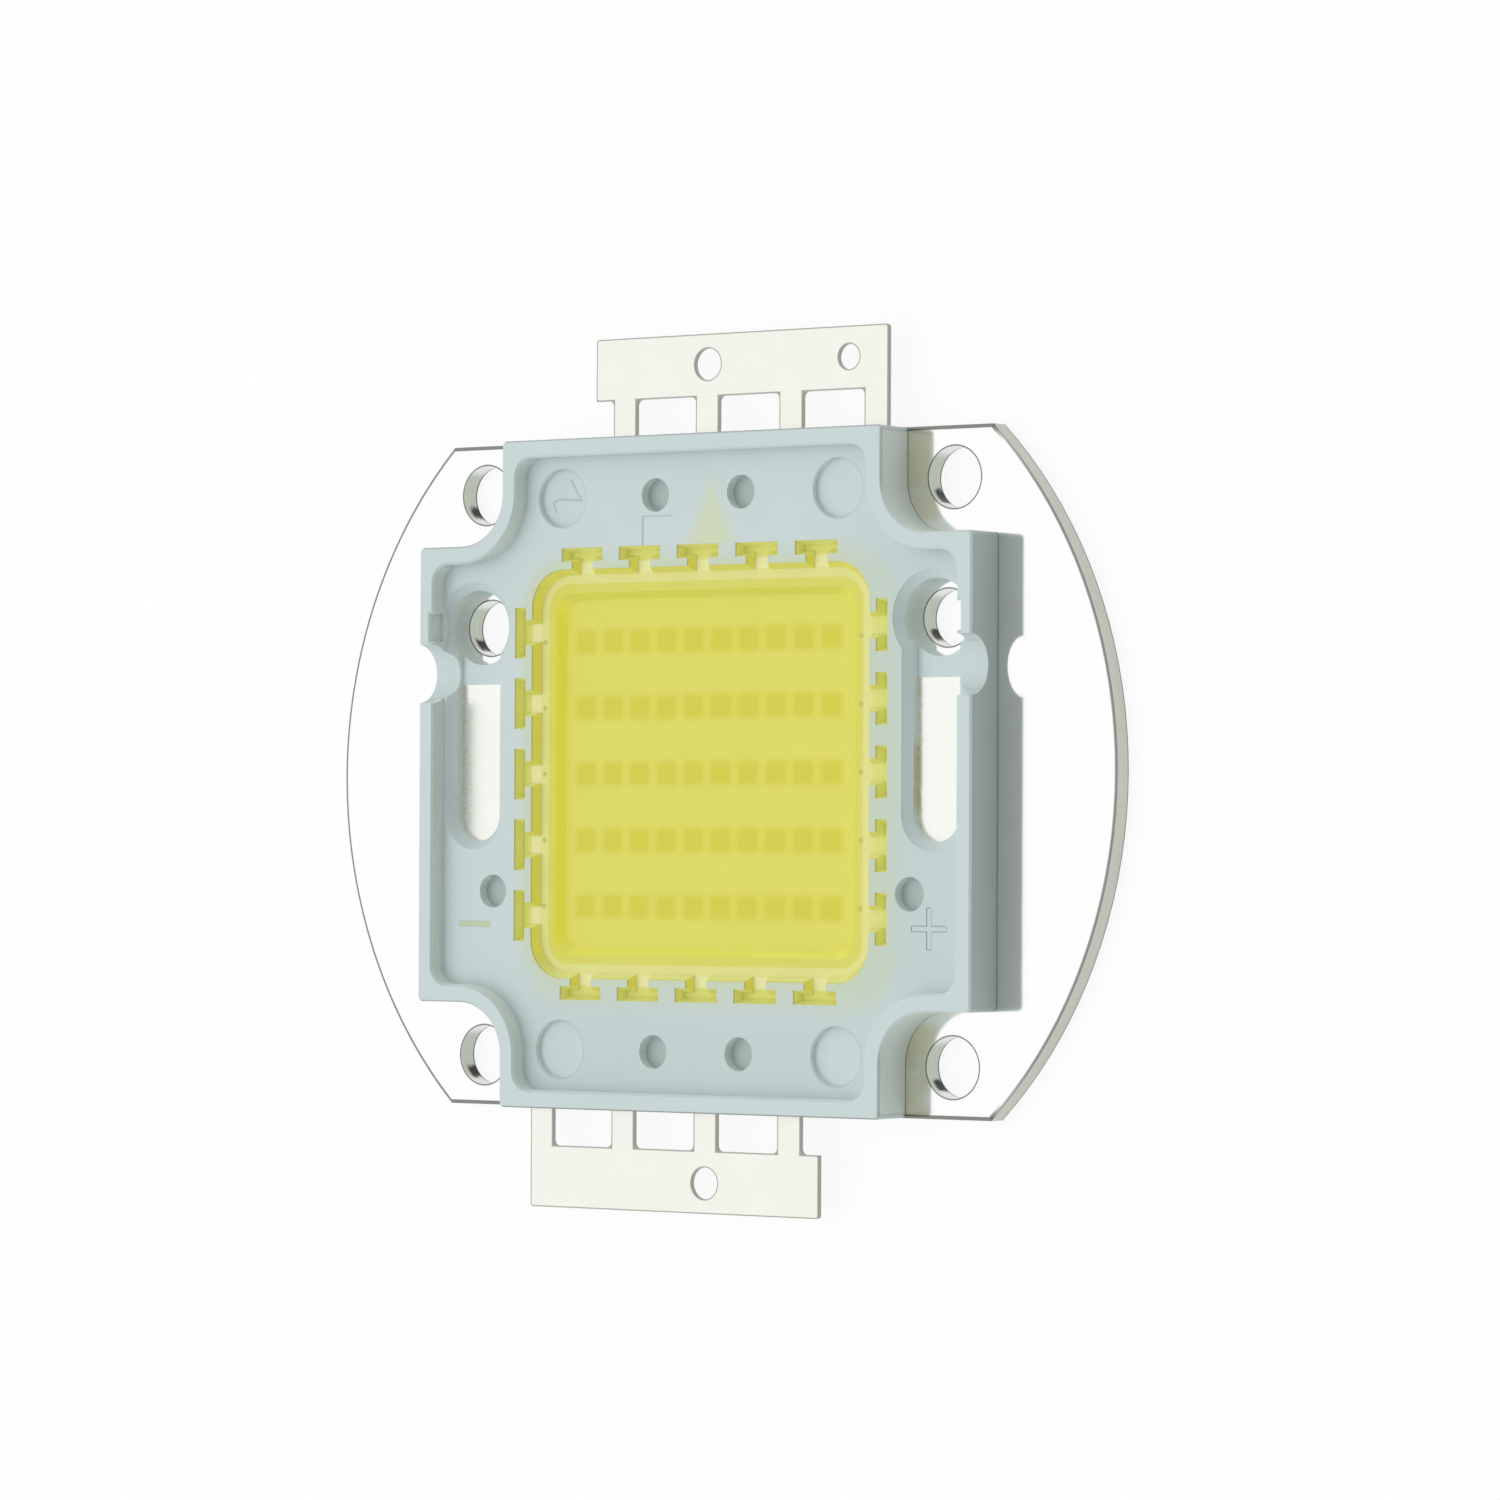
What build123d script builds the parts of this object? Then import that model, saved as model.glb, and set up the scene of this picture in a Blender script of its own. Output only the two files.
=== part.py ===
from build123d import *
import os

# High-power LED module: fifty dies on a metal base plate, in a moulded white housing.
# The module lies on its back. Z = 0 is the bare thermal face, +Z is the way the light goes.
# X runs from the cathode side to the anode side, Y from the cathode tab to the anode tab.
# The origin is the centre of the thermal face. All sizes are in millimetres.

# Base plate: a disc cut off by two flats
plate_radius = 28.0
plate_width = 40.0
plate_thickness = 1.3
plate_edge_chamfer = 0.12
corner_hole_inset = 3.0
corner_hole_diameter = 3.6
mid_hole_inset = 3.4
mid_hole_y = 8.9
mid_hole_diameter = 3.35

# Moulded housing: as wide as the plate between its flats, with a notch at each corner for a screw head
housing_height = 2.8
screw_head_radius = 3.25
notch_round = 3.1
outer_corner_round = 0.3
rim_width = 1.05
rim_depth = 1.1
rim_corner_round = 1.15
rim_edge_chamfer = 0.12
cavity_wall = 1.5
cavity_corner_round = 2.3
ledge_width = 1.35
throat_slope = 0.45
throat_corner_round = 1.2

# Anchor pockets round the cavity, shaped like a T
anchor_count = 5
anchor_margin = 3.75
anchor_bar_length = 3.05
anchor_bar_width = 0.82
anchor_neck_length = 0.45
anchor_neck_width = 1.55

# Solder slots beside the cavity, with a screw bore above each and a channel for the wire
slot_width = 3.2
slot_length = 9.5
slot_flare = 0.5
bore_diameter = 4.5
relief_length = 1.7
relief_depth = 0.25
channel_radius = 1.78
channel_drop = 2.8

# Small marks of the mould
pin_hole_diameter = 2.0
pin_hole_floor = 0.25
pin_hole_x = 3.1
side_pin_gap_x = 0.4
side_pin_gap_y = 0.95
ejector_diameter = 3.5
ejector_depth = 0.35
ejector_inset = 3.75
mark_inset = 3.5

# Rivets of the moulding, which hold it in countersunk holes of the plate
rivet_diameter = 1.8
rivet_head_diameter = 3.0
rivet_head_height = 0.6
rivet_recess = 0.1

# Lead frame: two flat pieces, one to each polarity
lead_gap = 0.45
lead_thickness = 0.3
lead_cover = 0.9
pad_top_gap = 1.2
pad_end_cover = 1.05
pad_edge_cover = 0.3
strip_gap = 0.25
strip_width = 1.2
finger_width = 1.5
finger_setback = 0.1
bus_gap = 0.48
bus_cover = 1.3
leg_count = 4
leg_width = 1.64
leg_pitch = 6.03
leg_length = 2.3
tab_length = 3.7
tab_overhang = 1.3
tab_corner_round = 0.2
leg_root_round = 0.35
tab_hole_diameter = 1.9
small_hole_diameter = 1.5
small_hole_inset = 2.75
tab_hole_inset = 1.8

# Dies in rows of one series string each, and the thin wires that join them
row_count = 5
column_count = 10
column_margin = 0.97
row_margin = 1.96
die_size = 1.14
die_thickness = 0.15
wire_diameter = 0.04
wire_loop = 0.25
wire_inset = 0.37
wire_rise_gap = 0.3
finger_bond_inset = 0.5
ledge_pass_inset = 0.1
ledge_pass_gap = 0.08

# Phosphor silicone: a dished coat over the dies, the ledge and the anchor pockets
field_depth = 0.65
ledge_coat = 0.3
ledge_coat_width = 1.08
field_slope = 0.42
rim_coat_drop = 0.1
rim_coat_width = 0.05
rim_coat_slope = 0.27
anchor_coat_slope = 0.2

# Levels and places that follow from the sizes above
plate_top = plate_thickness
housing_half = plate_width / 2
housing_top = plate_top + housing_height
floor_z = housing_top - rim_depth
lead_bottom = plate_top + lead_gap
lead_top = lead_bottom + lead_thickness
die_top = plate_top + die_thickness
corner_hole_offset = plate_width / 2 - corner_hole_inset
arm_half = corner_hole_offset - screw_head_radius
cavity_half = arm_half - cavity_wall
cavity_size = 2 * cavity_half
throat_size = cavity_size - 2 * ledge_width
throat_foot = throat_size - 2 * throat_slope
mid_hole_x = housing_half - mid_hole_inset
channel_y = mid_hole_y - channel_drop
pad_top_y = mid_hole_y - bore_diameter / 2 - pad_top_gap
slot_bottom_y = pad_top_y - slot_length
pad_bottom_y = slot_bottom_y - pad_end_cover
ejector_x = arm_half - ejector_inset
mark_y = housing_half - mark_inset
anchor_pitch = (cavity_size - 2 * anchor_margin) / (anchor_count - 1)
anchor_bar_start = cavity_half + anchor_neck_length
anchor_bar_end = anchor_bar_start + anchor_bar_width
bus_inner_y = anchor_bar_end + bus_gap
bus_outer_y = housing_half - bus_cover
tab_inner_y = housing_half + leg_length
tab_outer_y = tab_inner_y + tab_length
tab_hole_y = tab_outer_y - tab_hole_inset
first_leg_x = arm_half - lead_cover - leg_width / 2 - (leg_count - 1) * leg_pitch
last_leg_x = arm_half - lead_cover - leg_width / 2
strip_inner_x = cavity_half + strip_gap
strip_outer_x = strip_inner_x + strip_width
small_hole_x = last_leg_x + leg_width / 2 - small_hole_inset
side_pin_hole_x = strip_outer_x + side_pin_gap_x + pin_hole_diameter / 2
side_pin_hole_y = pad_bottom_y - side_pin_gap_y - pin_hole_diameter / 2
die_pitch_x = (throat_foot - 2 * column_margin - die_size) / (column_count - 1)
die_pitch_y = (throat_foot - 2 * row_margin - die_size) / (row_count - 1)
anchor_centres = [(i - (anchor_count - 1) / 2) * anchor_pitch for i in range(anchor_count)]
row_centres = [((row_count - 1) / 2 - i) * die_pitch_y for i in range(row_count)]
column_centres = [(i - (column_count - 1) / 2) * die_pitch_x for i in range(column_count)]


def block(x0, x1, y0, y1, z0, z1):
    """A box between two corners."""
    centre = Pos((x0 + x1) / 2, (y0 + y1) / 2, (z0 + z1) / 2)
    return centre * Box(x1 - x0, y1 - y0, z1 - z0)


def rod(x, y, diameter, z0, z1):
    """An upright cylinder."""
    return Pos(x, y, (z0 + z1) / 2) * Cylinder(diameter / 2, z1 - z0)


def prism(outline, z0, z1):
    """A flat outline made as tall as the gap between two levels."""
    return extrude(Pos(0, 0, z0) * outline, z1 - z0)


def sheet_area(x0, x1, y0, y1):
    """A flat rectangle between two corners."""
    return Pos((x0 + x1) / 2, (y0 + y1) / 2) * Rectangle(x1 - x0, y1 - y0)


def tapered_well(low_size, high_size, corner, z0, z1):
    """A rounded square well that is wider at its top."""
    low = Pos(0, 0, z0) * RectangleRounded(low_size, low_size, corner)
    high = Pos(0, 0, z1) * RectangleRounded(high_size, high_size, corner)
    return loft([low, high])


def corner_places():
    """The four places at the plate's corners, for holes and screw heads."""
    return [(sx * corner_hole_offset, sy * corner_hole_offset) for sx in (-1, 1) for sy in (-1, 1)]


def rivet(x, y):
    """One moulded rivet, with its countersunk head at the back of the plate."""
    shank = rod(x, y, rivet_diameter, rivet_recess, plate_top)
    head_middle = rivet_recess + rivet_head_height / 2
    head = Pos(x, y, head_middle) * Cone(rivet_head_diameter / 2, rivet_diameter / 2, rivet_head_height)
    return shank + head


def rivet_hole(x, y):
    """The countersunk hole for one rivet, open at the back."""
    mouth = rod(x, y, rivet_head_diameter, 0, rivet_recess)
    return rivet(x, y) + mouth


def rivet_places():
    """Rivets lie under the ejector marks, where the moulding is thickest."""
    return [(sx * ejector_x, sy * mark_y) for sx in (-1, 1) for sy in (-1, 1)]


def make_base_plate():
    """The stamped metal plate that carries the dies and takes their heat."""
    outline = Circle(plate_radius) & Rectangle(2 * plate_radius, plate_width)
    plate = prism(outline, 0, plate_top)
    plate = chamfer(plate.edges().group_by(Axis.Z)[-1], plate_edge_chamfer)
    holes = [rod(x, y, corner_hole_diameter, 0, plate_top) for x, y in corner_places()]
    holes += [rod(side * mid_hole_x, mid_hole_y, mid_hole_diameter, 0, plate_top) for side in (-1, 1)]
    holes += [rivet_hole(x, y) for x, y in rivet_places()]
    return plate - holes


def housing_outline(inset, notch, corner):
    """The square with notched corners, drawn in by an inset."""
    half = housing_half - inset
    arm = arm_half - inset
    cross = Rectangle(2 * half, 2 * arm) + Rectangle(2 * arm, 2 * half)
    inner = [v for v in cross.vertices() if abs(v.X) < half - 0.01 and abs(v.Y) < half - 0.01]
    cross = fillet(inner, notch)
    outer = [v for v in cross.vertices() if abs(v.X) > half - 0.01 or abs(v.Y) > half - 0.01]
    outer = [v for v in outer if abs(abs(v.X) - arm) < 0.01 or abs(abs(v.Y) - arm) < 0.01]
    return fillet(outer, corner)


def tee_outline(inner_end, coat):
    """One T-shaped anchor pocket on the +X side of the cavity, drawn in by the coat on its walls."""
    half_neck = anchor_neck_width / 2 - coat
    half_bar = anchor_bar_length / 2 - coat
    neck = sheet_area(inner_end, anchor_bar_start + coat, -half_neck, half_neck)
    bar = sheet_area(anchor_bar_start + coat, anchor_bar_end - coat, -half_bar, half_bar)
    return neck + bar


def at_each_anchor(shape):
    """Copies of what one anchor has on the +X side, for the anchors on all four sides."""
    turns = (0, 90, 180, 270)
    return [Rot(0, 0, turn) * Pos(0, middle) * shape for middle in anchor_centres for turn in turns]


def slot_outline(side):
    """One solder slot, from the screw bore down to its round end."""
    half = slot_width / 2
    middle = side * mid_hole_x
    round_y = slot_bottom_y + half
    straight = sheet_area(middle - half, middle + half, round_y, mid_hole_y)
    return straight + Pos(middle, round_y) * Circle(half)


def slot_flares(side):
    """The sloped mouths of one slot and its bore, wider at the face of the housing."""
    low = Pos(0, 0, floor_z - slot_flare)
    bore = Pos(side * mid_hole_x, mid_hole_y) * Circle(bore_diameter / 2)
    return [extrude(low * area, slot_flare, taper=-45) for area in (slot_outline(side), bore)]


def lead_side(side):
    """The part of a lead frame beside the cavity: strip, solder pad and bonding fingers."""
    outline = Sketch()
    top_y = anchor_centres[-1] + finger_width / 2
    outline += sheet_area(strip_inner_x, strip_outer_x, -top_y, top_y)
    pad_end = housing_half - rim_width - pad_edge_cover
    outline += sheet_area(strip_inner_x, pad_end, pad_bottom_y, pad_top_y)
    finger_end = throat_size / 2 + finger_setback
    for middle in anchor_centres:
        half = finger_width / 2
        outline += sheet_area(finger_end, strip_inner_x, middle - half, middle + half)
    return outline if side > 0 else mirror(outline, Plane.YZ)


def lead_comb():
    """The part of the anode's frame that leaves the housing: bus, legs and tab."""
    left = first_leg_x - leg_width / 2
    right = last_leg_x + leg_width / 2
    outline = sheet_area(left, right, bus_inner_y, bus_outer_y)
    for i in range(leg_count):
        middle = first_leg_x + i * leg_pitch
        outline += sheet_area(middle - leg_width / 2, middle + leg_width / 2, bus_outer_y, tab_inner_y)
    tab = sheet_area(left - tab_overhang, right, tab_inner_y, tab_outer_y)
    ends = tab.vertices().group_by(Axis.Y)[-1]
    outline += fillet(ends, tab_corner_round)
    roots = [v for v in outline.vertices() if abs(v.Y - tab_inner_y) < 0.01 and v.X > left - 0.01]
    outline = fillet(roots, leg_root_round)
    link_y = anchor_centres[-1]
    outline += sheet_area(strip_inner_x, strip_outer_x, link_y, bus_inner_y + strip_width)
    gusset_x = strip_inner_x - strip_width
    outline += sheet_area(gusset_x, strip_outer_x, anchor_bar_start, bus_inner_y + strip_width)
    return outline


def make_lead(side):
    """One whole lead frame, +1 for the anode and -1 for the cathode."""
    comb = lead_comb() if side > 0 else Rot(0, 0, 180) * lead_comb()
    lead = prism(lead_side(side) + comb, lead_bottom, lead_top)
    lead -= rod(0, side * tab_hole_y, tab_hole_diameter, lead_bottom, lead_top)
    if side > 0:
        lead -= rod(small_hole_x, tab_hole_y, small_hole_diameter, lead_bottom, lead_top)
    return lead


def make_housing(leads):
    """The white moulding over the plate and round the lead frames."""
    body = prism(housing_outline(0, notch_round, outer_corner_round), plate_top, housing_top)
    recess = housing_outline(rim_width, notch_round + rim_width, rim_corner_round)
    body -= prism(recess, floor_z, housing_top)
    for side in (-1, 1):
        relief_end = side * (housing_half - rim_width + relief_depth)
        low = min(side * mid_hole_x, relief_end)
        high = max(side * mid_hole_x, relief_end)
        half = relief_length / 2
        body -= block(low, high, mid_hole_y - half, mid_hole_y + half, floor_z, housing_top)
    body = chamfer(body.edges().group_by(Axis.Z)[-1], rim_edge_chamfer)
    body -= prism(RectangleRounded(cavity_size, cavity_size, cavity_corner_round), lead_top, floor_z)
    body -= tapered_well(throat_foot, throat_size, throat_corner_round, plate_top, lead_top)
    pocket = prism(tee_outline(cavity_half - rim_coat_width, 0), lead_top, floor_z)
    cuts = at_each_anchor(pocket)
    pin_holes = [(side * side_pin_hole_x, side_pin_hole_y) for side in (-1, 1)]
    pin_holes += [(sx * pin_hole_x, sy * mark_y) for sx in (-1, 1) for sy in (-1, 1)]
    cuts += [rod(x, y, pin_hole_diameter, lead_top + pin_hole_floor, floor_z) for x, y in pin_holes]
    cuts += [rod(x, y, ejector_diameter, floor_z - ejector_depth, floor_z) for x, y in rivet_places()]
    reach = housing_half - mid_hole_x
    for side in (-1, 1):
        cuts.append(prism(slot_outline(side), lead_top, floor_z))
        cuts.append(rod(side * mid_hole_x, mid_hole_y, bore_diameter, plate_top, floor_z))
        cuts += [flare & prism(recess, plate_top, floor_z) for flare in slot_flares(side)]
        channel = Cylinder(channel_radius, reach, rotation=(0, 90, 0))
        cuts.append(Pos(side * (mid_hole_x + reach / 2), channel_y, housing_top) * channel)
    body -= cuts + leads
    return body + [rivet(x, y) for x, y in rivet_places()]


def make_die(x, y):
    """One die, bonded flat on the plate."""
    half = die_size / 2
    return block(x - half, x + half, y - half, y + half, plate_top, die_top)


def make_wire(route):
    """A thin wire along straight runs, given as pairs of X and Z."""
    path = Polyline(*[(x, 0, z) for x, z in route])
    start = Plane(path @ 0, z_dir=path % 0)
    return sweep(start * Rectangle(wire_diameter, wire_diameter), path, transition=Transition.RIGHT)


def make_row_wires():
    """All the wires of one row, at Y = 0: die to die, and from the last dies to the fingers."""
    loop_z = die_top + wire_loop
    wires = []
    for left, right in zip(column_centres, column_centres[1:]):
        x0 = left + wire_inset
        x1 = right - wire_inset
        wires.append(make_wire([(x0, die_top), (x0, loop_z), (x1, die_top)]))
    x0 = column_centres[-1] + wire_inset
    edge = throat_size / 2
    over_edge = lead_top + ledge_pass_gap
    route = [(x0, die_top), (x0, loop_z), (throat_foot / 2 - wire_rise_gap, loop_z)]
    route += [(edge - ledge_pass_inset, over_edge), (edge + finger_bond_inset, over_edge)]
    route += [(edge + finger_bond_inset, lead_top)]
    end_wire = make_wire(route)
    wires.append(end_wire)
    wires.append(mirror(end_wire, Plane.YZ))
    return wires


def make_phosphor(buried):
    """The yellow silicone, with the dies and wires that it holds cut out of it."""
    field_z = plate_top + field_depth
    ledge_z = lead_top + ledge_coat
    rim_z = floor_z - rim_coat_drop
    body = prism(RectangleRounded(cavity_size, cavity_size, cavity_corner_round), lead_top, rim_z)
    body += tapered_well(throat_foot, throat_size, throat_corner_round, plate_top, lead_top)
    filled_pocket = prism(tee_outline(cavity_half - rim_coat_width, 0), lead_top, rim_z)
    body += at_each_anchor(filled_pocket)
    dish_top = cavity_size - 2 * rim_coat_width
    dish_low = dish_top - 2 * rim_coat_slope
    dish = tapered_well(dish_low, dish_top, cavity_corner_round, ledge_z, rim_z)
    field_top = dish_low - 2 * ledge_coat_width
    field_low = field_top - 2 * field_slope
    field = tapered_well(field_low, field_top, throat_corner_round, field_z, ledge_z)
    inner_end = dish_low / 2 - anchor_coat_slope
    dip_low = Pos(0, 0, ledge_z) * tee_outline(inner_end, rim_coat_width + anchor_coat_slope)
    dip_high = Pos(0, 0, rim_z) * tee_outline(inner_end, rim_coat_width)
    anchor_dips = at_each_anchor(loft([dip_low, dip_high]))
    return body - ([dish, field] + anchor_dips + buried)


def save(piece, name):
    """Write one piece under its own name."""
    export_step(piece, os.path.join("parts", name + ".step"))


def main():
    os.makedirs("parts", exist_ok=True)
    anode = make_lead(1)
    cathode = make_lead(-1)
    save(make_base_plate(), "base_plate")
    save(make_housing([anode, cathode]), "housing")
    save(anode, "anode_lead")
    save(cathode, "cathode_lead")
    buried = []
    row_wires = make_row_wires()
    for row, y in enumerate(row_centres, 1):
        for column, x in enumerate(column_centres, 1):
            die = make_die(x, y)
            buried.append(die)
            save(die, f"led_die_row{row}_col{column}")
        wires = [Pos(0, y, 0) * wire for wire in row_wires]
        buried += wires
        save(Compound(wires), f"bond_wires_row{row}")
    save(make_phosphor(buried), "phosphor")


main()
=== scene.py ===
"""Looks of the high-power LED module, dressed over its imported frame.

The module lies on its thermal face. X runs from the cathode side to the anode side,
Y from the cathode tab to the anode tab. Blender works in metres. The materials read
Object coordinates in millimetres, so that their sizes are written as on the part.
"""

import functools
import math

import bpy
from mathutils import Matrix, Vector


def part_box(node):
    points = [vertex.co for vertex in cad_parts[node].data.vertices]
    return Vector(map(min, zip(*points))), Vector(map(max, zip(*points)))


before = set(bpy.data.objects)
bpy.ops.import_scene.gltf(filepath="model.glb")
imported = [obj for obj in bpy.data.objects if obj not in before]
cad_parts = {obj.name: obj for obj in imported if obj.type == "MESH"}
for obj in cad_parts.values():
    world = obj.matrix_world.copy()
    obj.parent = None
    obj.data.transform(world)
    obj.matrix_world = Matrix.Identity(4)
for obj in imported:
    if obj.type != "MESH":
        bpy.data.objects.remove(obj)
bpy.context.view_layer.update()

MM = 0.001


def low_corner(name):
    """Lowest corner of a CAD node in millimetres."""
    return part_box(name)[0] / MM


def high_corner(name):
    """Highest corner of a CAD node in millimetres."""
    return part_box(name)[1] / MM


# Sizes read from the frame, in millimetres, as are all sizes up to the floor and the light
plate_corner = high_corner("base_plate")
plate_radius = plate_corner.x
plate_half_width = plate_corner.y
plate_top = plate_corner.z
moulding_corner = high_corner("housing")
moulding_half = moulding_corner.x
rim_top = moulding_corner.z

# The grid of the dies, read from the first die and its two neighbours
first_die_low = low_corner("led_die_row1_col1")
first_die_high = high_corner("led_die_row1_col1")
die_x = (first_die_low.x + first_die_high.x) / 2
die_y = (first_die_low.y + first_die_high.y) / 2
die_pitch_x = low_corner("led_die_row1_col2").x - first_die_low.x
die_pitch_y = low_corner("led_die_row2_col1").y - first_die_low.y
array_half_x = abs(die_x) + die_pitch_x / 2

# Levels above the thermal face
recess_floor = 3.0
ejector_floor = 2.65
pin_hole_floor = 2.3
ledge_level = high_corner("phosphor").z - 0.55
field_level = 1.95

# Outline of the moulding, a square with a round notch at each corner, and its wire channels
notch_centre = 16.85
notch_radius = 3.1
notch_start = notch_centre - notch_radius
channel_y = 6.1
channel_half = 1.9

# Edge of the plate: a painted dark reflection along it up to a place along X, and a thin painted dark
# line past it
dark_reflection_width = 0.26
dark_reflection_end_x = 20.5
thin_line_width = 0.1
# Height of the painted shadow line along the foot of the cut side and of the holes' walls
lower_line = 0.13

# Round holes of the plate, as X, Y and radius. The corner hole repeats in each quarter of the
# plate, the middle hole at both ends of X. A painted dark reflection lies one way in each.
corner_hole = (17.0, 17.0, 1.8)
middle_hole = (16.6, 8.9, 1.675)
dark_reflection_way = (-0.80, -0.60)

# Residue on the plate: where a strip lies in a notch, and how wide a strip is
notch_residue_x = (12.5, 15.9)
notch_residue_y = (14.2, 14.9)
strip_width = 1.6

# Where painted shade darkens the face of the moulding, as light falling off towards +X and -Y, from a
# first place to a last
falloff_shade_x = (6.0, 15.0)
falloff_shade_y = (-11.0, -16.0)

# Polarity signs in the face of the moulding
minus_middle = (-16.46, -9.03)
plus_middle = (16.46, -9.03)
sign_half_length = 1.2
sign_half_stroke = 0.16
sign_corner = 0.05

# Ejector marks, and the cavity number in one of them
ejector_mark = (10.0, 16.5, 1.75)
number_middle = (-10.2, 16.55)
number_path = ((0.61, 1.04), (1.39, -0.18), (-0.22, -0.05), (-0.70, -0.27), (-0.50, -0.81))
number_half_stroke = 0.08

# The joint of a mould insert: a line up from the cavity, then along X
joint_x = -4.0
joint_foot_y = 13.5
joint_top_y = 15.25
joint_end_x = -1.85

# Silicone on the moulding's face: rounded squares that it has bled over, and a smear above the cavity
bleed_square = (12.8, 12.8, 2.8)
bleed_middle = (0.7, -0.4)
rim_square = (12.3, 12.3, 2.3)
smear_x = 0.95
smear_foot_y = 13.4
smear_tip_y = 17.1
smear_slant = 0.48

# Flux on the walls of the right slot
flux_x = (13.0, 17.5)
flux_y = (-2.2, 1.6)
flux_z = (2.0, 2.45)

# The comb of a lead: its legs, its tab and the round holes of the tab
comb_start = moulding_half - 0.1
legs_end = 22.6
leg_x = 12.03
leg_pitch = 6.03
leg_half = 0.82
tab_middle = (2.335, 24.15)
tab_box = (10.515, 1.85, 0.2)
tab_hole = (0.0, 24.2, 0.95)
small_hole = (10.1, 24.2, 0.75)

# Solder pads: where they end along Y, which also bounds the lead's painted light, and where flux has
# browned them
pad_end_y = 11.0
browned_edges_x = (-18.1, 15.15)
browned_end_y = 6.5

# The gel's field and ledge, as rounded squares with their half sizes and corner, and its anchors
field_square = (10.64, 10.64, 1.2)
ledge_square = (11.93, 11.93, 2.0)
thin_coat_width = 0.62
# Where the painted shade round the slope grows stronger towards -X
shade_ring_x = (-8.5, -10.3)
neck_start = 12.0
bar_start = 12.65
dull_neck_x = (8.0, 12.0)

# What shows through the gel: soft squares over the dies, bands along their rows, ends of the wires
die_glow = (0.66, 0.64, 0.25)
band_half = (0.5, 1.1)
dot_left_x = -11.7
dot_right_x = 11.25
dot_radius = 0.16
rows_end_y = 9.4

# A distance past every mark, which takes a mark out where it is added
far_off = 9.0


# Shader maths

noise_roughness = 0.55

# Sockets of a Mix node that blends colours
mix_first = 6
mix_second = 7
mix_result = 2


class Value:
    """A socket of a material, with the operators that add Math nodes."""

    def __init__(self, shader, socket):
        self.shader = shader
        self.socket = socket

    def __add__(self, other):
        return self.shader.maths("ADD", self, other)

    def __sub__(self, other):
        return self.shader.maths("SUBTRACT", self, other)

    def __rsub__(self, other):
        return self.shader.maths("SUBTRACT", other, self)

    def __mul__(self, other):
        return self.shader.maths("MULTIPLY", self, other)

    def __truediv__(self, other):
        return self.shader.maths("DIVIDE", self, other)

    def __neg__(self):
        return self.shader.maths("MULTIPLY", self, -1.0)

    __radd__ = __add__
    __rmul__ = __mul__


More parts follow.
